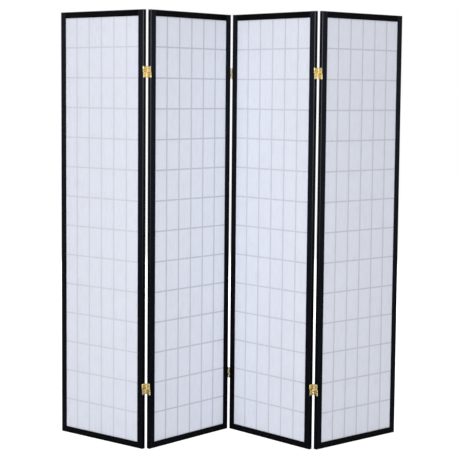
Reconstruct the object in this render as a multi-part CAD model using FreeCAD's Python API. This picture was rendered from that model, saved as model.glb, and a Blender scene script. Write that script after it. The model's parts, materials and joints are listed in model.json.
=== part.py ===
"""Four-panel folding paper screen, standing in a zigzag.

Each panel is a wooden frame of two full-height stiles and two rails, mortised together and
routed round its edges. A lattice with a sheet of paper glued to its front face is held in a
groove that runs round the inside of the frame. Neighbouring panels hang on pairs of two-way
hinges: two leaves screwed to the facing stiles, and two crossing links between the leaves.

Millimetres. X runs along the screen from left to right, -Y is the front, +Z is up. The origin
is the centre of the screen's footprint, on the floor.
"""
import FreeCAD, Part
import math
import os
from FreeCAD import Placement, Rotation, Vector

# ---- driving dimensions ----------------------------------------------------------------

# the panel
panel_width = 442.0
panel_height = 1784.0
panel_thickness = 19.0
stile_width = 27.0
rail_width = 25.5
outer_round = 2.5          # round-over along the outside edges of the frame
inner_chamfer = 1.0        # arris taken off round the opening

# the groove inside the frame, and what it holds
front_lip = 2.5            # wood left in front of the paper
groove_play = 0.2          # play of paper and lattice across the groove
seat_play = 0.3            # play between the lattice's rim and the bottom of the groove
paper_thickness = 0.3
slat_width = 5.5
slat_depth = 7.0
upright_depth = 3.5        # the rest of the depth is the cross bars', which lie behind
side_lap = 5.5             # the rim slats' centre lines lie this far behind the stiles' edge
end_lap = 2.0              # and this far behind the rails' edge
columns = 6
rows = 14

# the mortise and tenon of the corner joints
tenon_length = 18.0
tenon_thickness = 6.0
tenon_height = 15.0
tenon_from_end = 5.0       # from the end of the stile to the tenon
tenon_back = 6.5           # from the back face of the frame to the tenon
mortise_spare = 1.0        # depth left past the tenon's end

# the two-way hinges
hinge_inset = 248.0        # from the top or bottom of the panel to the hinge's middle
hinge_height = 46.0
leaf_width = 18.4
leaf_thickness = 0.9
link_width = 18.4
link_thickness = 0.9
axis_from_edge = 2.0       # pin line to the stile's edge face, which is the barrel's radius
axis_from_face = 2.5       # pin line to the plane of the panel's face
pin_radius = 1.1
pin_play = 0.05            # radial running clearance of a pin in its knuckle
knuckle_gap = 0.3          # along the pin, between a leaf's knuckle and a link's
screw_radius = 1.6
screw_length = 15.0
barrel_flat_count = 10     # the rolled barrels are drawn with this many flats outside
bore_flat_count = 8        # and with this many inside, round the pin
screw_flat_count = 8

# how the screen stands
outer_panel_angle = 35.5   # panels 1 and 4 to the screen's long direction
inner_panel_angle = 43.0   # panels 2 and 3

# ---- sizes that follow from them -------------------------------------------------------

opening_left = stile_width
opening_right = panel_width - stile_width
opening_bottom = rail_width
opening_top = panel_height - rail_width

rim_left = opening_left - side_lap - slat_width / 2
rim_right = opening_right + side_lap + slat_width / 2
rim_bottom = opening_bottom - end_lap - slat_width / 2
rim_top = opening_top + end_lap + slat_width / 2
column_pitch = (rim_right - rim_left - slat_width) / columns
row_pitch = (rim_top - rim_bottom - slat_width) / rows

lattice_front = front_lip + paper_thickness
lattice_back = lattice_front + slat_depth
upright_back = lattice_front + upright_depth
groove_back = lattice_back + groove_play

axis_from_middle = panel_thickness / 2 + axis_from_face
half_height = hinge_height / 2
knuckle_height = half_height / 2 - knuckle_gap
hinge_heights = (hinge_inset, panel_height - hinge_inset)


# ---- small tools -----------------------------------------------------------------------

up = Vector(0, 0, 1)
tolerance = 0.01           # coordinates this close together are the same
past = 1.0                 # how far a cutting box reaches past the wood


def block(x0, x1, y0, y1, z0, z1):
    """Box between two opposite corners, given as spans."""
    return Part.makeBox(x1 - x0, y1 - y0, z1 - z0, Vector(x0, y0, z0))


def outline(radius, flat_count, centre, axis):
    """Closed outline of a bar with its flats at the radius, square to the axis."""
    reach = radius / math.cos(math.pi / flat_count)
    turn = Rotation(up, axis)
    points = []
    for k in range(flat_count + 1):
        angle = 2 * math.pi * (k + 0.5) / flat_count
        corner = Vector(reach * math.cos(angle), reach * math.sin(angle), 0)
        points.append(centre + turn.multVec(corner))
    return Part.makePolygon(points)


# ---- the wooden frame, in the panel's own frame ----------------------------------------
# x from the panel's left edge, y from its front face, z from the floor

def routed_frame():
    """The four glued-up members as one blank, rounded over outside, arris off inside."""
    blank = block(0, panel_width, 0, panel_thickness, 0, panel_height)
    blank = blank.makeFillet(outer_round, edges_of_faces(blank))
    opening = block(opening_left, opening_right, 0, panel_thickness, opening_bottom, opening_top)
    blank = blank.cut(opening)
    around_opening = [e for e in edges_of_faces(blank) if in_opening(e)]
    return blank.makeChamfer(inner_chamfer, around_opening)


def edges_of_faces(blank):
    """The edges that lie in the plane of the front or the back face."""
    found = []
    for edge in blank.Edges:
        box = edge.BoundBox
        if box.YMax < tolerance or box.YMin > panel_thickness - tolerance:
            found.append(edge)
    return found


def in_opening(edge):
    """True for an edge on the outline of the opening."""
    box = edge.BoundBox
    across = box.XMin > opening_left - tolerance and box.XMax < opening_right + tolerance
    upright = box.ZMin > opening_bottom - tolerance and box.ZMax < opening_top + tolerance
    return across and upright


def groove():
    """The space that paper and lattice sit in, behind the front lip."""
    return block(rim_left - seat_play, rim_right + seat_play, front_lip, groove_back,
                 rim_bottom - seat_play, rim_top + seat_play)


def tenons(spare):
    """The four tenons, left and right of the bottom and top rail. The mortises are these with
    some depth to spare."""
    reach = tenon_length + spare
    y1 = panel_thickness - tenon_back
    y0 = y1 - tenon_thickness
    found = []
    for z0 in (tenon_from_end, panel_height - tenon_from_end - tenon_height):
        z1 = z0 + tenon_height
        found.append([block(opening_left - reach, opening_left, y0, y1, z0, z1),
                      block(opening_right, opening_right + reach, y0, y1, z0, z1)])
    return found


def frame_members():
    """Left stile, right stile, bottom rail and top rail."""
    body = routed_frame().cut(groove())
    deep = (-past, panel_thickness + past)
    full = (-past, panel_height + past)
    left = body.common(block(-past, opening_left, *deep, *full))
    right = body.common(block(opening_right, panel_width + past, *deep, *full))
    for left_mortise, right_mortise in tenons(mortise_spare):
        left = left.cut(left_mortise)
        right = right.cut(right_mortise)
    rails = []
    spans = ((-past, opening_bottom + past), (opening_top - past, panel_height + past))
    for span, (left_tenon, right_tenon) in zip(spans, tenons(0)):
        rail = body.common(block(opening_left, opening_right, *deep, *span))
        rails.append(rail.fuse(left_tenon).fuse(right_tenon))
    return left, right, *rails


# ---- lattice and paper -----------------------------------------------------------------

def lattice_uprights():
    """Left and right rim slats, and the uprights, which lie against the paper."""
    slats = []
    for i in range(columns + 1):
        x0 = rim_left + i * column_pitch
        if i in (0, columns):
            span = (lattice_front, lattice_back, rim_bottom, rim_top)
        else:
            span = (lattice_front, upright_back, rim_bottom + slat_width, rim_top - slat_width)
        slats.append(block(x0, x0 + slat_width, *span))
    return slats


def lattice_cross_bars():
    """Bottom and top rim slats, and the cross bars, which lie across the back of the uprights."""
    slats = []
    for k in range(rows + 1):
        z0 = rim_bottom + k * row_pitch
        front = lattice_front if k in (0, rows) else upright_back
        slats.append(block(rim_left + slat_width, rim_right - slat_width, front, lattice_back,
                           z0, z0 + slat_width))
    return slats


def paper_sheet():
    """The paper, glued over the front of the whole lattice."""
    return block(rim_left, rim_right, front_lip, lattice_front, rim_bottom, rim_top)


# ---- two-way hinge, in the hinge's own frame -------------------------------------------
# x away from the stile's edge face, y across the panel's thickness, z from the hinge's middle

def half_spans(half):
    """Heights of the link's knuckle, the leaf's knuckle and the whole, in the hinge's upper (1)
    or lower (-1) half. The links' knuckles are the two next to the hinge's middle."""
    near = knuckle_gap / 2
    link_span = (near, near + knuckle_height)
    leaf_span = (half_height - near - knuckle_height, half_height - near)
    spans = (link_span, leaf_span, (link_span[0], leaf_span[1]))
    if half > 0:
        return spans
    return tuple((-high, -low) for low, high in spans)


def pin_line(half):
    """Distance of a leaf's pin from the middle plane: in front above, at the back below."""
    return -axis_from_middle if half > 0 else axis_from_middle


def barrel(y, span):
    """Outside of a knuckle about a pin line, between two heights."""
    low, high = span
    face = Part.Face(outline(axis_from_edge, barrel_flat_count, Vector(axis_from_edge, y, low), up))
    return face.extrude(up * (high - low))


def bore(radius, y, span):
    """The hole through a knuckle."""
    low, high = span
    face = Part.Face(outline(radius, bore_flat_count, Vector(axis_from_edge, y, low), up))
    return face.extrude(up * (high - low))


def leaf():
    """A plate screwed to the stile's edge, rolled round a pin in front in its upper half and
    round another at the back in its lower half."""
    z_end = half_height - knuckle_gap / 2
    shape = block(0, leaf_thickness, -leaf_width / 2, leaf_width / 2, -z_end, z_end)
    for half in (1, -1):
        y = pin_line(half)
        span = half_spans(half)[1]
        tongue = block(0, leaf_thickness, min(0, y), max(0, y), *span)
        shape = shape.fuse([tongue, barrel(y, span)])
        shape = shape.cut(bore(pin_radius, y, span))
    return shape.cut(leaf_screws()).removeSplitter()


def link(half):
    """A plate between the front and the back pin line in one half of the hinge, with one
    knuckle on each line."""
    span, _, whole = half_spans(half)
    x0 = axis_from_edge - link_thickness / 2
    x1 = axis_from_edge + link_thickness / 2
    shape = block(x0, x1, -link_width / 2, link_width / 2, *whole)
    shape = shape.fuse(block(x0, x1, -axis_from_middle, axis_from_middle, *span))
    for y in (-axis_from_middle, axis_from_middle):
        shape = shape.fuse(barrel(y, span))
        shape = shape.cut(bore(pin_radius + pin_play, y, span))
    return shape.removeSplitter()


def leaf_pins():
    """The two pins held in a leaf's knuckles: upper front and lower back."""
    pins = []
    for half in (1, -1):
        low, high = half_spans(half)[2]
        foot = Vector(axis_from_edge, pin_line(half), low)
        pins.append(Part.makeCylinder(pin_radius, high - low, foot, up))
    return pins


def leaf_screws():
    """The two countersunk screws of a leaf. The heads have a right-angled cone, are flush with
    the leaf's face and reach through its whole thickness."""
    head_radius = screw_radius + leaf_thickness
    inward = Vector(-1, 0, 0)
    screws = []
    for height in (-half_height / 2, half_height / 2):
        face = Vector(leaf_thickness, 0, height)
        neck = Vector(0, 0, height)
        rim = outline(head_radius, screw_flat_count, face, inward)
        throat = outline(screw_radius, screw_flat_count, neck, inward)
        head = Part.makeLoft([rim, throat], True, True)
        shank = Part.Face(throat).extrude(inward * (screw_length - leaf_thickness))
        screws.append(head.fuse(shank).removeSplitter())
    return screws


# ---- where things stand ----------------------------------------------------------------

def turned(angle, x, y):
    """A panel's own direction (x, y) seen from above, once the panel is turned by angle."""
    c = math.cos(math.radians(angle))
    s = math.sin(math.radians(angle))
    return Vector(c * x - s * y, s * x + c * y, 0)


panel_angles = (-outer_panel_angle, inner_panel_angle, -inner_panel_angle, outer_panel_angle)
front_axis = -axis_from_face
back_axis = panel_thickness + axis_from_face
right_axis = panel_width + axis_from_edge
left_axis = -axis_from_edge

# the middle fold turns about the front pin line, the outer two about the back one
fold_lines = [back_axis, front_axis, back_axis]

# panels 2 and 3 meet on the middle fold's line, and the outer panels are hung on them
axis_points = [None, Vector(0, 0, 0), None]
corners = [None] * 4
corners[1] = axis_points[1] - turned(panel_angles[1], right_axis, front_axis)
corners[2] = axis_points[1] - turned(panel_angles[2], left_axis, front_axis)
axis_points[0] = corners[1] + turned(panel_angles[1], left_axis, back_axis)
corners[0] = axis_points[0] - turned(panel_angles[0], right_axis, back_axis)
axis_points[2] = corners[2] + turned(panel_angles[2], right_axis, back_axis)
corners[3] = axis_points[2] - turned(panel_angles[3], left_axis, back_axis)


def panel_place(number):
    """Placement of panel 1 to 4, from the panel's own frame to the screen's."""
    return Placement(corners[number - 1], Rotation(up, panel_angles[number - 1]))


def edge_place(side, height):
    """Placement of a hinge part on a panel's right or left edge, in the panel's own frame."""
    if side == "right":
        return Placement(Vector(panel_width, panel_thickness / 2, height), Rotation())
    half_turn = Rotation(up, 180)
    return Placement(Vector(0, panel_thickness / 2, height), half_turn)


def placed(shapes, place):
    """Copies of shapes, moved by a placement."""
    copies = []
    for shape in shapes:
        copy = shape.copy()
        copy.Placement = place.multiply(copy.Placement)
        copies.append(copy)
    return copies


# ---- the nodes -------------------------------------------------------------------------

nodes = {}
left_stile, right_stile, bottom_rail, top_rail = frame_members()
uprights = lattice_uprights()
cross_bars = lattice_cross_bars()

for number in (1, 2, 3, 4):
    stiles = {"left": left_stile, "right": right_stile}
    for side in stiles:
        hinged = (side == "right" and number < 4) or (side == "left" and number > 1)
        if hinged:
            for height in hinge_heights:
                stiles[side] = stiles[side].cut(placed(leaf_screws(), edge_place(side, height)))
    pieces = {
        "left_stile": [stiles["left"]],
        "right_stile": [stiles["right"]],
        "top_rail": [top_rail],
        "bottom_rail": [bottom_rail],
        "lattice_uprights": uprights,
        "lattice_cross_bars": cross_bars,
        "paper": [paper_sheet()],
    }
    for name, shapes in pieces.items():
        nodes[f"panel_{number}_{name}"] = placed(shapes, panel_place(number))

for fold in (1, 2, 3):
    name = f"hinges_{fold}_{fold + 1}"
    on_back = fold_lines[fold - 1] == back_axis
    sides = {"left": (fold, "right"), "right": (fold + 1, "left")}
    for label, (number, edge) in sides.items():
        for part, shapes in (("leaves", [leaf()]), ("pins", leaf_pins()), ("screws", leaf_screws())):
            at_edge = [s for height in hinge_heights for s in placed(shapes, edge_place(edge, height))]
            nodes[f"{name}_{label}_{part}"] = placed(at_edge, panel_place(number))
    # folded to the back, the upper link lies with the left panel and the lower with the right
    owners = {"upper": "left" if on_back else "right", "lower": "right" if on_back else "left"}
    for half, label in owners.items():
        number, edge = sides[label]
        shape = link(1 if half == "upper" else -1)
        at_edge = [s for height in hinge_heights for s in placed([shape], edge_place(edge, height))]
        nodes[f"{name}_{half}_links"] = placed(at_edge, panel_place(number))

# the origin goes to the middle of the footprint
footprint = Part.makeCompound([s for shapes in nodes.values() for s in shapes]).optimalBoundingBox()
middle = Vector((footprint.XMin + footprint.XMax) / 2, (footprint.YMin + footprint.YMax) / 2, 0)

os.makedirs("parts", exist_ok=True)
for name, shapes in nodes.items():
    shapes = placed(shapes, Placement(middle * -1, Rotation()))
    whole = shapes[0] if len(shapes) == 1 else Part.makeCompound(shapes)
    whole.exportStep(f"parts/{name}.step")

print("nodes", len(nodes), "solids", sum(len(shapes) for shapes in nodes.values()))
print("size", round(footprint.XLength, 2), round(footprint.YLength, 2), round(footprint.ZLength, 2))
for fold, point in enumerate(axis_points, 1):
    seat = point - middle
    print(f"fold {fold}-{fold + 1} axis at x {seat.x:.4f} y {seat.y:.4f}")
for number, corner in enumerate(corners, 1):
    seat = corner - middle
    print(f"panel {number} front left corner at x {seat.x:.4f} y {seat.y:.4f}, turned "
          f"{panel_angles[number - 1]}")
print("lattice columns every", round(column_pitch, 3), "rows every", round(row_pitch, 3))
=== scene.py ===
import bmesh
import bpy
import json
import math
import numpy as np
from mathutils import Matrix, Vector


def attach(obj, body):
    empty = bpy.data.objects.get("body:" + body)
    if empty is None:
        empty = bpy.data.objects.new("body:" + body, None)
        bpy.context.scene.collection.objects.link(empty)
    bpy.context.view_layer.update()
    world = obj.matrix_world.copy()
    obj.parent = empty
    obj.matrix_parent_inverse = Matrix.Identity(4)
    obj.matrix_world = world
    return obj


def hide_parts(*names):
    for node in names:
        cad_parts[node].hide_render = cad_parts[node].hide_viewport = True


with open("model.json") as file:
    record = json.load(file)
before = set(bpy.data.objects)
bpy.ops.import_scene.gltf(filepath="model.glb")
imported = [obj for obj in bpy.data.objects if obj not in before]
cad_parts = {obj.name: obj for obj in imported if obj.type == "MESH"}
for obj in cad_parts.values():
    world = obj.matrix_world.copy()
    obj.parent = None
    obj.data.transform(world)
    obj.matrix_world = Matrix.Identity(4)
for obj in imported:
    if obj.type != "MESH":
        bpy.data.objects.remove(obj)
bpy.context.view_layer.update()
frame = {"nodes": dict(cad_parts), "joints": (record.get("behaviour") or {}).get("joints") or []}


# ---- The stiles and rails ----------------------------------------------------------------
# Softwood members, mortised together, routed over along their outside arrises and sprayed with
# satin black lacquer. A painted highlight lies along the outside arrises, growing towards the
# top, and a painted sheen lightens the stiles towards their tops. A fine line shows where each
# rail's shoulder meets the stile.

mm = 0.001
panels = (1, 2, 3, 4)


def own_axes(number):
    """A panel's own directions: along it, through it from front to back, and up. The first is
    the long way of its paper seen from above."""
    vertices = frame["nodes"][f"panel_{number}_paper"].data.vertices
    plan = np.array([v.co[:2] for v in vertices], float)
    along = np.linalg.svd(plan - plan.mean(0), full_matrices=False)[2][0]
    along = np.append(along * np.sign(along[0]), 0.0)
    up = np.array([0.0, 0.0, 1.0])
    return np.array([along, np.cross(up, along), up])


axes = {number: own_axes(number) for number in panels}


def own_span(number, piece):
    """Lowest and highest corner of one of a panel's pieces, along the panel's own directions."""
    vertices = frame["nodes"][f"panel_{number}_{piece}"].data.vertices
    inside = np.array([v.co for v in vertices], float) @ axes[number].T
    return inside.min(0), inside.max(0)


corners = {number: own_span(number, "left_stile")[0] for number in panels}
panel_width, panel_thickness, panel_height = own_span(1, "right_stile")[1] - corners[1]
stile_width = (own_span(1, "left_stile")[1] - corners[1])[0]
outer_round = 2.5 * mm


def principled(name):
    """A new node material with one Principled shader. Returns the material, its tree and the
    shader."""
    material = bpy.data.materials.new(name)
    material.use_nodes = True
    tree = material.node_tree
    return material, tree, tree.nodes["Principled BSDF"]


def add(tree, kind, inputs=None, **settings):
    """Adds a node, sets its properties, and fills its inputs: a socket is linked and anything
    else is set as the input's own value."""
    node = tree.nodes.new(kind)
    for key, value in settings.items():
        setattr(node, key, value)
    for key, value in (inputs or {}).items():
        if isinstance(value, bpy.types.NodeSocket):
            tree.links.new(value, node.inputs[key])
        else:
            node.inputs[key].default_value = value
    return node


def math_node(tree, operation, first, second=0.0, third=0.0):
    """One arithmetic step, of sockets or numbers."""
    inputs = {0: first, 1: second, 2: third}
    return add(tree, "ShaderNodeMath", inputs, operation=operation).outputs[0]


def fade(tree, value, start, end, low, high):
    """Maps value from start..end to low..high along a smooth S, and holds it outside."""
    inputs = {"Value": value, "From Min": start, "From Max": end, "To Min": low, "To Max": high}
    return add(tree, "ShaderNodeMapRange", inputs, interpolation_type="SMOOTHSTEP").outputs[0]


def noise(tree, place, scale, detail):
    """Cloudy noise about 0.5, with its features about one over scale metres wide."""
    return add(tree, "ShaderNodeTexNoise", {"Vector": place, "Scale": scale, "Detail": detail}).outputs[0]


def tinted(tree, dark, light, amount):
    """A colour between two colours or sockets, by an amount from 0 to 1."""
    node = add(tree, "ShaderNodeMix", {"Factor": amount}, data_type="RGBA")
    for socket, colour in ((node.inputs[6], dark), (node.inputs[7], light)):
        if isinstance(colour, bpy.types.NodeSocket):
            tree.links.new(colour, socket)
        else:
            socket.default_value = (*colour, 1.0)
    return node.outputs[2]


def own_place(tree, number):
    """Object coordinates in the panel's own directions, from its lower left front corner."""
    along = axes[number][0]
    position = add(tree, "ShaderNodeTexCoord").outputs["Object"]
    inputs = {"Vector": position, "Location": Vector(corners[number] @ axes[number]),
              "Rotation": (0.0, 0.0, math.atan2(along[1], along[0]))}
    return add(tree, "ShaderNodeMapping", inputs, vector_type="TEXTURE").outputs[0]


def drawn_out(tree, own, grain):
    """The panel's own coordinates squeezed along the grain, 'x' or 'z', so that a pattern on
    them is drawn out that way."""
    squeeze = (0.04, 1.0, 1.0) if grain == "x" else (1.0, 1.0, 0.04)
    return add(tree, "ShaderNodeMapping", {"Vector": own, "Scale": squeeze}).outputs[0]


lacquer_tones = {"z": ((0.0010, 0.0011, 0.0022), (0.0034, 0.0037, 0.0062)),
                 "x": ((0.0008, 0.0008, 0.0014), (0.0026, 0.0025, 0.0036))}
painted_top_sheen = (0.0115, 0.0135, 0.0195)       # painted sheen of the stiles, stronger towards their tops
arris_highlight_tone = (0.125, 0.125, 0.135)          # painted highlight on the outer arrises
shoulder_tone = (0.0004, 0.0004, 0.0006)    # in the line at a rail's shoulder
highlight_from, highlight_to = 0.55, 1.75       # heights over which the painted arris highlight grows


def lacquered_wood(number, grain):
    """Satin black lacquer on wood. How near a point is to an outside arris is the larger of its
    distances from the nearest outer side and from the nearer face. A painted highlight lies along
    the outside arrises, growing with height, and on the stiles a painted sheen grows towards their
    tops. Grain streaks drift through the colour and the roughness, and telegraph through as a
    shallow bump."""
    material, tree, shader = principled(f"black_lacquer_{number}_{grain}")
    own = own_place(tree, number)
    drawn = drawn_out(tree, own, grain)
    streaks = noise(tree, drawn, 160.0, 3.0)
    fine = noise(tree, drawn, 900.0, 4.0)
    split = add(tree, "ShaderNodeSeparateXYZ", {0: own})
    across, depth, height = (split.outputs[way] for way in "XYZ")
    side = math_node(tree, "MINIMUM", math_node(tree, "PINGPONG", across, panel_width / 2),
                     math_node(tree, "PINGPONG", height, panel_height / 2))
    face = math_node(tree, "PINGPONG", depth, panel_thickness / 2)
    away = math_node(tree, "MAXIMUM", side, face)
    # The outer arrises get a painted highlight, stronger with height and broken up by the grain.
    near_arris = fade(tree, away, 0.35 * outer_round, 0.95 * outer_round, 1.0, 0.0)
    highlight_rise = fade(tree, height, highlight_from, highlight_to, 0.0, 1.0)
    arris_highlight = math_node(tree, "MULTIPLY", math_node(tree, "MULTIPLY", near_arris, highlight_rise),
                     fade(tree, streaks, 0.30, 0.62, 0.7, 1.0))
    deep, pale = lacquer_tones[grain]
    sprayed = tinted(tree, deep, pale, fade(tree, streaks, 0.35, 0.65, 0.0, 1.0))
    # The stiles get a painted sheen, lighter towards their tops.
    if grain == "z":
        sprayed = tinted(tree, sprayed, painted_top_sheen, fade(tree, height, 0.3, 1.7, 0.0, 0.65))
    colour = tinted(tree, sprayed, arris_highlight_tone, arris_highlight)
    bump_height = fine
    if grain == "x":
        rail_length = panel_width - 2 * stile_width
        from_stile = math_node(tree, "SUBTRACT", across, stile_width)
        from_shoulder = math_node(tree, "PINGPONG", from_stile, rail_length / 2)
        groove = fade(tree, from_shoulder, 0.15 * mm, 0.6 * mm, 1.0, 0.0)
        colour = tinted(tree, colour, shoulder_tone, groove)
        bump_height = math_node(tree, "MULTIPLY_ADD", groove, -4.0, fine)
    tree.links.new(colour, shader.inputs["Base Color"])
    tree.links.new(fade(tree, streaks, 0.3, 0.7, 0.36, 0.50), shader.inputs["Roughness"])
    shader.inputs["Specular IOR Level"].default_value = 0.03
    bump = add(tree, "ShaderNodeBump", {"Height": bump_height, "Strength": 0.25, "Distance": 0.06 * mm})
    tree.links.new(bump.outputs[0], shader.inputs["Normal"])
    return material


def put_on(material, *names):
    """Gives a CAD node's slots the material."""
    for name in names:
        for slot in frame["nodes"][name].material_slots:
            slot.material = material


for number in panels:
    put_on(lacquered_wood(number, "z"), f"panel_{number}_left_stile", f"panel_{number}_right_stile")
    put_on(lacquered_wood(number, "x"), f"panel_{number}_top_rail", f"panel_{number}_bottom_rail")


# ---- The lattice -------------------------------------------------------------------------
# Thin softwood slats in two layers, glued where they cross: uprights against the paper and
# cross bars behind them. They are dipped in thin black stain, so they are duller than the frame
# and show their grain.

def stained_wood(number, grain):
    """Dull black stain on wood, with grain streaks lighter and rougher than the rest."""
    material, tree, shader = principled(f"black_stain_{number}_{grain}")
    drawn = drawn_out(tree, own_place(tree, number), grain)
    streaks = noise(tree, drawn, 600.0, 5.0)
    lighter = fade(tree, streaks, 0.35, 0.75, 0.0, 1.0)
    colour = tinted(tree, (0.005, 0.0045, 0.005), (0.019, 0.017, 0.017), lighter)
    tree.links.new(colour, shader.inputs["Base Color"])
    tree.links.new(fade(tree, streaks, 0.3, 0.7, 0.55, 0.72), shader.inputs["Roughness"])
    shader.inputs["Specular IOR Level"].default_value = 0.12
    bump = add(tree, "ShaderNodeBump", {"Height": streaks, "Strength": 0.4, "Distance": 0.1 * mm})
    tree.links.new(bump.outputs[0], shader.inputs["Normal"])
    return material


for number in panels:
    put_on(stained_wood(number, "z"), f"panel_{number}_lattice_uprights")
    put_on(stained_wood(number, "x"), f"panel_{number}_lattice_cross_bars")


# ---- The paper ---------------------------------------------------------------------------
# One sheet of white fibre paper per panel, glued over the front of the lattice and stretched
# by its drying. It cockles a little between the slats. The slats show through it, partly by its
# real translucency and mostly as painted shade where they block the light from behind.

columns, rows = 6, 14
slat_width = 5.5 * mm
paper_thickness = 0.3 * mm
sheet_low, sheet_high = own_span(1, "paper")
sheet_width, _, sheet_height = sheet_high - sheet_low
column_pitch = (sheet_width - slat_width) / columns
row_pitch = (sheet_height - slat_width) / rows
paper_white = (0.806, 0.832, 0.918)


def grid_faces(across, high):
    """Corner numbers of the quads of a grid of points, across quads wide and high quads high,
    numbered row by row."""
    first = (np.arange(high)[:, None] * (across + 1) + np.arange(across)).ravel()
    return np.stack([first, first + 1, first + across + 2, first + across + 1], 1)


def new_piece(name, points, faces, smooth=True):
    """A mesh object at the origin from an (n, 3) array of points and an (m, 4) array of quads."""
    mesh = bpy.data.meshes.new(name)
    mesh.from_pydata(points.tolist(), [], faces.tolist())
    mesh.polygons.foreach_set("use_smooth", np.full(len(mesh.polygons), smooth))
    mesh.update()
    piece = bpy.data.objects.new(name, mesh)
    bpy.context.scene.collection.objects.link(piece)
    return piece


def stretched_sheet(number):
    """The sheet's middle surface on a grid: u runs across it and v up it, in metres. Between
    slats it stands forward by the product of two sine arches, one per direction, to the power
    0.7, so that every field is a shallow pillow pinned at the slats. The pillows are 0.16 mm
    high, and two slow waves of cockling make some higher and some lower."""
    corner = own_span(number, "paper")[0]
    steps_u, steps_v = columns * 8, rows * 10
    u = np.linspace(0.0, sheet_width, steps_u + 1)
    v = np.linspace(0.0, sheet_height, steps_v + 1)
    uu, vv = np.meshgrid(u, v)
    field_u = np.clip((uu - slat_width / 2) / column_pitch, 0, columns)
    field_v = np.clip((vv - slat_width / 2) / row_pitch, 0, rows)
    arch = np.abs(np.sin(np.pi * field_u) * np.sin(np.pi * field_v)) ** 0.7
    drift = np.sin(field_u * 2.1 + number * 1.7) * np.sin(field_v * 1.3 + number * 2.9)
    cockle = np.sin(field_u * 5.3 + 1.9 * np.sin(field_v * 2.2 + number)) * np.sin(field_v * 3.7)
    forward = arch * (0.16 + 0.10 * drift + 0.06 * cockle) * mm
    own = corner + np.stack([uu, paper_thickness / 2 - forward, vv], -1)
    points = own.reshape(-1, 3) @ axes[number]
    sheet = new_piece(f"paper_{number}", points, grid_faces(steps_u, steps_v))
    uv = sheet.data.uv_layers.new(name="Sheet")
    loops = np.empty(len(sheet.data.loops), np.int32)
    sheet.data.loops.foreach_get("vertex_index", loops)
    uv.data.foreach_set("uv", np.stack([uu.ravel(), vv.ravel()], 1)[loops].ravel())
    solid = sheet.modifiers.new("thickness", "SOLIDIFY")
    solid.thickness = paper_thickness
    solid.offset = 0.0
    return sheet


def fibres(tree, place, number, squeeze, scale, detail):
    """Noise over a sheet, another part of it on each, drawn out up the sheet by one over
    squeeze."""
    inputs = {"Vector": place, "Location": (0.7 * number, 2.3 * number, 0.0), "Scale": (1.0, squeeze, 1.0)}
    return noise(tree, add(tree, "ShaderNodeMapping", inputs).outputs[0], scale, detail)


def fibre_paper(number, slat_shade):
    """White paper seen with the lattice behind it. The distance to the nearest slat's centre line
    is a triangle wave of u or v, and the paper is darker by slat_shade within half a slat of it,
    with soft sides: painted shade where the slats block the light from behind. Upright cloudy
    fibres and fine flecks vary the rest. Part of the light comes through from the other side."""
    material, tree, shader = principled(f"fibre_paper_{number}")
    place = add(tree, "ShaderNodeUVMap", uv_map="Sheet").outputs[0]
    split = add(tree, "ShaderNodeSeparateXYZ", {0: place})
    shades = []
    for way, pitch, reach in (("X", column_pitch, 4.8 * mm), ("Y", row_pitch, 4.0 * mm)):
        from_first = math_node(tree, "SUBTRACT", split.outputs[way], slat_width / 2)
        away = math_node(tree, "PINGPONG", from_first, pitch / 2)
        shades.append(fade(tree, away, 1.5 * mm, reach, 1.0, 0.0))
    behind = math_node(tree, "MAXIMUM", *shades)
    clouds = fibres(tree, place, number, 0.12, 170.0, 3.0)
    flecks = fibres(tree, place, number, 0.12, 620.0, 3.0)
    wide = fibres(tree, place, number, 1.0, 12.0, 2.0)
    laid = fibres(tree, place, number, 0.02, 130.0, 2.0)
    tone = 1.0
    for pattern, strength in ((clouds, 0.17), (flecks, 0.12), (wide, 0.05), (laid, 0.07)):
        change = math_node(tree, "MULTIPLY_ADD", pattern, strength, -0.5 * strength)
        tone = math_node(tree, "ADD", tone, change)
    # painted shade where the slats behind the paper block the light
    tone = math_node(tree, "MULTIPLY", tone, math_node(tree, "MULTIPLY_ADD", behind, -slat_shade, 1.0))
    tone = math_node(tree, "MULTIPLY", tone, 0.985)
    colour = tinted(tree, (0.0, 0.0, 0.0), paper_white, tone)
    tree.links.new(colour, shader.inputs["Base Color"])
    shader.inputs["Roughness"].default_value = 0.75
    shader.inputs["Specular IOR Level"].default_value = 0.1
    bump = add(tree, "ShaderNodeBump", {"Height": flecks, "Strength": 0.25, "Distance": 0.1 * mm})
    tree.links.new(bump.outputs[0], shader.inputs["Normal"])
    through = add(tree, "ShaderNodeBsdfTranslucent", {"Color": colour})
    both = add(tree, "ShaderNodeMixShader", {0: 0.12, 1: shader.outputs[0], 2: through.outputs[0]})
    tree.links.new(both.outputs[0], tree.nodes["Material Output"].inputs["Surface"])
    return material


slat_shades = {1: 0.15, 2: 0.27, 3: 0.20, 4: 0.22}    # how deep the painted slat shade is on each panel
for number in panels:
    sheet = stretched_sheet(number)
    sheet.data.materials.append(fibre_paper(number, slat_shades[number]))
    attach(sheet, f"panel_{number}")
    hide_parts(f"panel_{number}_paper")


# ---- Hinge leaves ------------------------------------------------------------------------
# Stamped brass plates, 0.9 mm thick, screwed to the facing edges of the stiles. Each is rolled
# round a pin in front in its upper half and round another at the back in its lower half.
# In the hinge's own frame x points out of the stile's edge, y through the panel from its front
# and z up, from the hinge's middle.

plate_thickness = 0.9 * mm
plate_half_width = 9.2 * mm
hinge_half_height = 23.0 * mm
knuckle_gap = 0.3 * mm
knuckle_height = hinge_half_height / 2 - knuckle_gap
pin_out = 2.0 * mm            # from the stile's edge to the pin's centre line
pin_aside = panel_thickness / 2 + 2.5 * mm   # from the panel's middle plane to it
curl_radius = pin_out - plate_thickness / 2
hole_radius = 2.5 * mm
hinge_inset = 248.0 * mm
curl_steps = 20
seam_gap = 0.002 * mm         # points nearer than this are one

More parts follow.
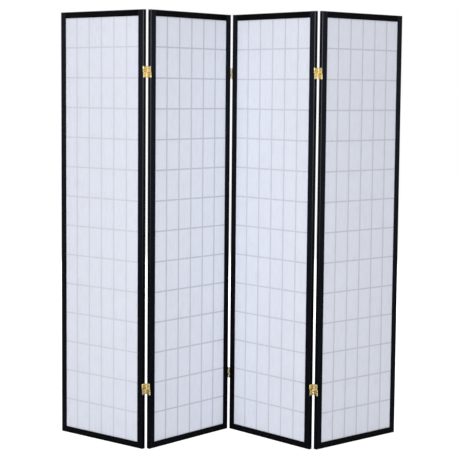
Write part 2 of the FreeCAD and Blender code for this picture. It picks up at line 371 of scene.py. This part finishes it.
# where the knuckles of a link and of a leaf start and end in the upper half
link_start = knuckle_gap / 2
leaf_end = hinge_half_height - knuckle_gap / 2
leaf_start = leaf_end - knuckle_height
link_end = link_start + knuckle_height


def brass(name, pale, deep, roughness, metallic=1.0):
    """Brass plating: a slow noise moves the colour between two tones and the roughness with it,
    over fine rolling marks in the bump. A clear lacquer over it makes it a little less metallic."""
    material, tree, shader = principled(name)
    position = add(tree, "ShaderNodeTexCoord").outputs["Object"]
    slow = noise(tree, position, 260.0, 3.0)
    fine = noise(tree, position, 2600.0, 2.0)
    colour = tinted(tree, pale, deep, fade(tree, slow, 0.35, 0.65, 0.0, 1.0))
    tree.links.new(colour, shader.inputs["Base Color"])
    tree.links.new(fade(tree, slow, 0.3, 0.7, roughness, roughness + 0.12), shader.inputs["Roughness"])
    shader.inputs["Metallic"].default_value = metallic
    bump = add(tree, "ShaderNodeBump", {"Height": fine, "Strength": 0.3, "Distance": 0.04 * mm})
    tree.links.new(bump.outputs[0], shader.inputs["Normal"])
    return material


def holed_plate(z_low, z_high, z_split):
    """A flat rectangle in y and z with a round hole in its middle, between z_low and z_high, as
    rings of points from the hole to the outline. A ring point moves straight from the circle to
    the outline. The outline has 8 steps a side, and its sides are split at z_split."""
    half = 4
    z = np.concatenate([np.linspace(z_low, z_split, half + 1), np.linspace(z_split, z_high, half + 1)[1:]])
    y = np.linspace(-plate_half_width, plate_half_width, 2 * half + 1)
    flat = np.ones(2 * half)
    outline = np.concatenate([
        np.stack([y[:-1], flat * z_low], 1), np.stack([flat * plate_half_width, z[:-1]], 1),
        np.stack([y[:0:-1], flat * z_high], 1), np.stack([-flat * plate_half_width, z[:0:-1]], 1)])
    middle = np.array([0.0, (z_low + z_high) / 2])
    away = outline - middle
    circle = middle + hole_radius * away / np.linalg.norm(away, axis=1)[:, None]
    shares = np.array([0.0, 0.12, 0.5, 1.0])[:, None, None]
    rings = circle + shares * (outline - circle)
    rings = np.concatenate([rings, rings[:, :1]], 1)
    return rings.reshape(-1, 2), grid_faces(8 * half, len(shares) - 1)


def curl():
    """The rolled end of a leaf in x and y: from the plate's edge straight to beside the pin, then
    on round it at the curl's middle radius for 285 degrees."""
    angles = np.radians(np.linspace(180.0, -105.0, curl_steps + 1))
    x = pin_out + curl_radius * np.cos(angles)
    y = pin_aside + curl_radius * np.sin(angles)
    return np.stack([np.append(plate_thickness / 2, x), np.append(plate_half_width, y)], 1)


def strip(path, z):
    """A path in x and y carried up through the heights z, as points and quads."""
    points = np.concatenate([np.tile(path, (len(z), 1)), np.repeat(z, len(path))[:, None]], 1)
    return points, grid_faces(len(path) - 1, len(z) - 1)


def joined(parts):
    """Several point and face arrays as one."""
    starts = np.cumsum([0] + [len(points) for points, _ in parts])
    points = np.concatenate([points for points, _ in parts])
    faces = np.concatenate([faces + start for (_, faces), start in zip(parts, starts)])
    return points, faces


def leaf_surface():
    """Middle surface of a leaf: two holed halves of the plate, with a curl at the front of the
    upper half and one at the back of the lower half. The lower half is the upper one turned
    half round about x."""
    plate, plate_faces = holed_plate(0.0, leaf_end, leaf_start)
    plate = np.concatenate([np.full((len(plate), 1), plate_thickness / 2), plate], 1)
    roll, roll_faces = strip(curl(), np.linspace(leaf_start, leaf_end, 5))
    roll[:, 1] *= -1
    upper, faces = joined([(plate, plate_faces), (roll, roll_faces)])
    lower = upper * np.array([1.0, -1.0, -1.0])
    return joined([(upper, faces), (lower, faces)])


def edge_places(fold, side):
    """Origin and axes of the two hinges' own frames on one of the edges that meet at a fold,
    from the fold's joint and the panel's directions. The joint's line is the pin line in front
    of the panels or behind them, whichever its place says."""
    joint = next(j for j in frame["joints"] if j["name"] == f"fold_{fold}_{fold + 1}")
    number = fold if side == "left" else fold + 1
    along, through, up = axes[number]
    line = np.array(joint["pos_m"])
    behind = (axes[number] @ line - corners[number])[1] > 0
    hinge_axes = np.array([along, through, up] if side == "left" else [-along, -through, up])
    foot = line - pin_out * hinge_axes[0] - pin_aside * (through if behind else -through)
    heights = (hinge_inset, panel_height - hinge_inset)
    return [(np.array([foot[0], foot[1], height]), hinge_axes) for height in heights]


def hinge_piece(name, surface, fold, side, node, material):
    """A hinge part, made in the hinge's own frame, at both hinges of a fold's side. Its seams and
    poles are closed and its faces turned outwards. It rides on that side's panel and stands for
    the node."""
    points, faces = surface
    placed = joined([(origin + points @ own, faces) for origin, own in edge_places(fold, side)])
    piece = new_piece(name, *placed)
    shell = bmesh.new()
    shell.from_mesh(piece.data)
    bmesh.ops.remove_doubles(shell, verts=shell.verts, dist=seam_gap)
    bmesh.ops.recalc_face_normals(shell, faces=shell.faces)
    shell.to_mesh(piece.data)
    shell.free()
    piece.data.materials.append(material)
    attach(piece, f"panel_{fold if side == 'left' else fold + 1}")
    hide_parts(node)
    return piece


def thickened(piece):
    """Gives a surface the plate's thickness and eases its arrises."""
    solid = piece.modifiers.new("thickness", "SOLIDIFY")
    solid.thickness = plate_thickness
    solid.offset = 0.0
    ease = piece.modifiers.new("arrises", "BEVEL")
    ease.width = 0.15 * mm
    ease.segments = 2
    ease.limit_method = "ANGLE"
    ease.angle_limit = math.radians(50)


leaf_brass = brass("pale_brass", (0.82, 0.77, 0.57), (0.72, 0.65, 0.42), 0.2, 0.75)
sides = ("left", "right")
for fold in (1, 2, 3):
    for side in sides:
        thickened(hinge_piece(f"leaves_{fold}_{fold + 1}_{side}", leaf_surface(), fold, side,
                              f"hinges_{fold}_{fold + 1}_{side}_leaves", leaf_brass))


# ---- Hinge links -------------------------------------------------------------------------
# Plain brass plates with a knuckle rolled at each side, one link in the upper half of a hinge
# and one in the lower. A link joins the front pin of one leaf to the back pin of the other, so
# on whichever line the screen folds, each link stays with one of the two panels.

link_fillet = 2.0 * mm
link_shoulder = math.sqrt(curl_radius ** 2 + 2 * curl_radius * link_fillet)


def link_path():
    """A link in x and y, from its middle to one side: straight in the plane of the pins, a
    fillet that leaves that plane, then the curl round the pin. Fillet and curl touch where the
    line between their centres crosses them."""
    lean = math.atan2(link_shoulder, link_fillet)
    bend = np.linspace(0.0, lean, 5)
    y0 = pin_aside - link_shoulder
    fillet = np.stack([pin_out + link_fillet * (1 - np.cos(bend)), y0 + link_fillet * np.sin(bend)], 1)
    angles = np.linspace(-lean, math.radians(285) - lean, curl_steps + 1)[1:]
    around = np.stack([pin_out + curl_radius * np.cos(angles), pin_aside + curl_radius * np.sin(angles)], 1)
    return np.concatenate([[[pin_out, 0.0]], fillet, around])


def link_surface(half):
    """Middle surface of the link in the upper (1) or lower (-1) half: its path to both sides
    carried up the knuckles' height, and a flat strip above that between the curls."""
    side = link_path()
    both = np.concatenate([side[:0:-1] * np.array([1.0, -1.0]), side])
    knuckles = strip(both, np.linspace(link_start, link_end, 3))
    edge = pin_aside - link_shoulder
    flat = np.array([[pin_out, -edge], [pin_out, 0.0], [pin_out, edge]])
    plain = strip(flat, np.linspace(link_end, leaf_end, 3))
    points, faces = joined([knuckles, plain])
    return points * np.array([1.0, 1.0, half]), faces


link_brass = brass("gold_brass", (0.52, 0.385, 0.125), (0.39, 0.275, 0.08), 0.2)
for fold in (1, 2, 3):
    holders = {"upper": "left", "lower": "right"} if fold != 2 else {"upper": "right", "lower": "left"}
    for half, side in holders.items():
        surface = link_surface(1 if half == "upper" else -1)
        thickened(hinge_piece(f"links_{fold}_{fold + 1}_{half}", surface, fold, side,
                              f"hinges_{fold}_{fold + 1}_{half}_links", link_brass))


# ---- Hinge pins --------------------------------------------------------------------------
# Drawn wire, 2.2 mm thick, pressed into the leaves' knuckles and free in the links'. The ends
# are slightly domed.

pin_radius = 1.1 * mm
pin_dome = 0.4 * mm


def turned_surface(radii, heights, turns):
    """A profile of radii and heights carried round the z axis."""
    angles = np.linspace(0.0, 2 * np.pi, turns + 1)
    x = radii[:, None] * np.cos(angles)
    y = radii[:, None] * np.sin(angles)
    z = np.repeat(heights[:, None], turns + 1, 1)
    return np.stack([x, y, z], -1).reshape(-1, 3), grid_faces(turns, len(radii) - 1)


def pin_surfaces():
    """A leaf's two pins: a cylinder whose ends are quarter ellipses, in front above and at the
    back below."""
    rise = np.linspace(0.0, np.pi / 2, 5)
    end_radii = pin_radius * np.sin(rise)
    end_depths = pin_dome * (1 - np.cos(rise))
    radii = np.concatenate([end_radii, end_radii[::-1]])
    heights = np.concatenate([link_start + end_depths, leaf_end - end_depths[::-1]])
    points, faces = turned_surface(radii, heights, 24)
    points = points + np.array([pin_out, -pin_aside, 0.0])
    return joined([(points, faces), (points * np.array([1.0, -1.0, -1.0]), faces)])


pin_brass = brass("drawn_brass", (0.60, 0.47, 0.20), (0.50, 0.38, 0.14), 0.22)
for fold in (1, 2, 3):
    for side in sides:
        hinge_piece(f"pins_{fold}_{fold + 1}_{side}", pin_surfaces(), fold, side,
                    f"hinges_{fold}_{fold + 1}_{side}_pins", pin_brass)


# ---- Hinge screws ------------------------------------------------------------------------
# Countersunk wood screws, two in each leaf, with a cross recess. The head is flush with the
# leaf, and the shank runs 14 mm into the stile.

screw_radius = 1.6 * mm
head_radius = 2.35 * mm


def screw_surface():
    """A screw in the hinge's own frame. The head's face is rings of points, lowered by the depth
    of the cross recess: 1 inside an arm and 0 outside, with sloping sides. Below it the profile
    goes down the cone, the shank and the point."""
    turns = 48
    rings = np.linspace(0.0, head_radius, 15)
    angles = np.linspace(0.0, 2 * np.pi, turns + 1)
    across = rings[:, None] * np.cos(angles)
    up = rings[:, None] * np.sin(angles)
    arm = np.minimum(np.abs(across), np.abs(up))
    reach = np.maximum(np.abs(across), np.abs(up))
    inside = np.clip((0.45 * mm - arm) / (0.16 * mm), 0, 1) * np.clip((1.6 * mm - reach) / (0.4 * mm), 0, 1)
    crown = 0.18 * mm * (rings[:, None] / head_radius) ** 4
    out = plate_thickness + 0.08 * mm - crown - 0.8 * mm * inside
    face = np.stack([out, across, up], -1)
    # the head's rim, the foot of its cone, the end of the shank, and the point's ring and tip
    radii = np.array([head_radius, screw_radius, screw_radius, 0.4 * mm, 0.0])[:, None]
    depths = np.array([0.75, 0.0, -11.0, -13.6, -14.0]) * mm
    body = np.stack([np.repeat(depths[:, None], turns + 1, 1), radii * np.cos(angles),
                     radii * np.sin(angles)], -1)
    rings_of_points = np.concatenate([face, body])
    return rings_of_points.reshape(-1, 3), grid_faces(turns, len(rings_of_points) - 1)


def leaf_screws():
    """The two screws of a leaf, at the middle of each half."""
    points, faces = screw_surface()
    middle = np.array([0.0, 0.0, leaf_end / 2])
    return joined([(points + middle, faces), (points - middle, faces)])


screw_brass = brass("screw_brass", (0.28, 0.21, 0.07), (0.19, 0.14, 0.045), 0.3)
for fold in (1, 2, 3):
    for side in sides:
        hinge_piece(f"screws_{fold}_{fold + 1}_{side}", leaf_screws(), fold, side,
                    f"hinges_{fold}_{fold + 1}_{side}_screws", screw_brass)


# ---- Floor and light ---------------------------------------------------------------------
# A white floor and a white surround, which rays of the camera, of reflections and of
# transmission see as plain white. The floor keeps the screen's soft shadow. Reflections see
# less of its glow, because they show the part near the screen, which is well lit already.

floor_half = 14.0
floor_glow = 0.72
mirrored_share = 0.4       # of the floor's glow, seen in reflections
around = 0.32              # the surround's light on the screen, where plain white is 1

def seen_plainly(tree, mirrored=1.0):
    """1 for camera rays, mirrored for glossy and transmission rays, and 0 for others."""
    path = add(tree, "ShaderNodeLightPath")
    bounced = math_node(tree, "MAXIMUM", path.outputs["Is Glossy Ray"], path.outputs["Is Transmission Ray"])
    weaker = math_node(tree, "MULTIPLY", bounced, mirrored)
    return math_node(tree, "MAXIMUM", path.outputs["Is Camera Ray"], weaker)


floor_points = np.array([[-1, -1, 0], [1, -1, 0], [1, 1, 0], [-1, 1, 0]], float) * floor_half
floor = new_piece("floor", floor_points, np.array([[0, 1, 2, 3]]), smooth=False)
floor_white, floor_tree, floor_shader = principled("floor_white")
floor_shader.inputs["Base Color"].default_value = (0.86, 0.86, 0.86, 1.0)
floor_shader.inputs["Roughness"].default_value = 0.9
floor_shader.inputs["Specular IOR Level"].default_value = 0.0
glow_strength = math_node(floor_tree, "MULTIPLY", seen_plainly(floor_tree, mirrored_share), floor_glow)
glow = add(floor_tree, "ShaderNodeEmission", {"Strength": glow_strength})
lit = add(floor_tree, "ShaderNodeAddShader", {0: floor_shader.outputs[0], 1: glow.outputs[0]})
floor_tree.links.new(lit.outputs[0], floor_tree.nodes["Material Output"].inputs["Surface"])
floor.data.materials.append(floor_white)

scene = bpy.context.scene
world = bpy.data.worlds.new("surround")
scene.world = world
world.use_nodes = True
surround = world.node_tree.nodes["Background"]
surround.inputs["Color"].default_value = (1.0, 1.0, 1.0, 1.0)
strength = math_node(world.node_tree, "MULTIPLY_ADD", seen_plainly(world.node_tree), 1.0 - around, around)
world.node_tree.links.new(strength, surround.inputs["Strength"])


def soft_lamp(name, place, target, size, power):
    """A square lamp at place that faces target."""
    light = bpy.data.lights.new(name, "AREA")
    light.size = size
    light.energy = power
    lamp = bpy.data.objects.new(name, light)
    lamp.location = place
    lamp.rotation_euler = (Vector(target) - Vector(place)).to_track_quat("-Z", "Y").to_euler()
    scene.collection.objects.link(lamp)


# two broad lamps in front, a key from the left, a low one for the foot of the screen, and two
# behind it that shine through the paper
centre = Vector((0.0, 0.0, 0.95))
soft_lamp("front_left", (-2.2, -4.8, 1.8), centre, 3.4, 58.0)
soft_lamp("front_right", (2.4, -4.8, 1.8), centre, 3.4, 43.0)
soft_lamp("key_left", (-3.4, -3.2, 2.9), centre, 2.2, 26.0)
soft_lamp("low_front", (0.0, -5.0, 0.6), centre, 1.2, 79.0)
soft_lamp("back_left", (-1.8, 4.6, 2.2), centre, 3.0, 100.0)
soft_lamp("back_right", (1.8, 4.6, 2.2), centre, 3.0, 100.0)


# ---- Camera ------------------------------------------------------------------------------
# A long lens 4.85 m in front of the screen, a little left of its middle and 1.46 m above the
# floor, tipped down. A small shift does part of the tipping, so that uprights stay upright.

camera_data = bpy.data.cameras.new("camera")
camera = bpy.data.objects.new("camera", camera_data)
scene.collection.objects.link(camera)
scene.camera = camera
camera_data.sensor_width = 36.0
camera_data.lens = 91.63
camera_data.shift_y = -0.10
camera_place = Vector((-0.0861, -4.8494, 1.4599))
yaw, pitch, roll = (math.radians(a) for a in (-0.966, -4.506, -0.508))
level = Matrix(((1, 0, 0), (0, 0, -1), (0, 1, 0)))    # looks along +Y, with +Z up
turn = Matrix.Rotation(yaw, 3, "Z") @ Matrix.Rotation(pitch, 3, "X") @ Matrix.Rotation(roll, 3, "Y")
camera.matrix_world = Matrix.Translation(camera_place) @ (turn @ level).to_4x4()

scene.view_settings.view_transform = "Standard"
